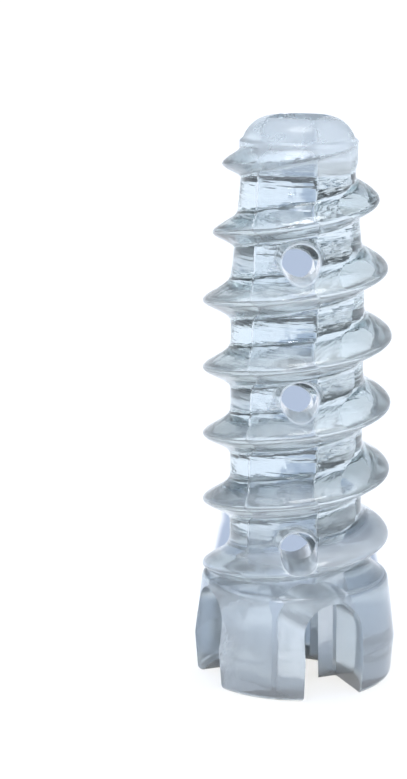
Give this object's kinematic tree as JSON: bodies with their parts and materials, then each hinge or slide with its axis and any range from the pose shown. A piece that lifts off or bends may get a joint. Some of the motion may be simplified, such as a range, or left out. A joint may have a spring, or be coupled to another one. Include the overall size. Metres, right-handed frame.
{
  "type": "suture anchor",
  "caption": "Clear threaded bone anchor with a blunt open nose, round side vents, a tapered square drive socket right through it and an arch-notched flat head.",
  "frame": {"origin": "on the anchor's axis, in the plane of the head's flat face", "axes": "+Z along the axis towards the tip, -Y towards the viewer of the picture, +X to the viewer's right"},
  "size_m": [0.006, 0.006, 0.0166],
  "materials": {
    "clear_polymer": "clear, faintly blue-grey injection moulded polymer, glossy"
  },
  "bodies": {
    "root": {"anchor_body": "clear_polymer"}
  },
  "joints": []
}
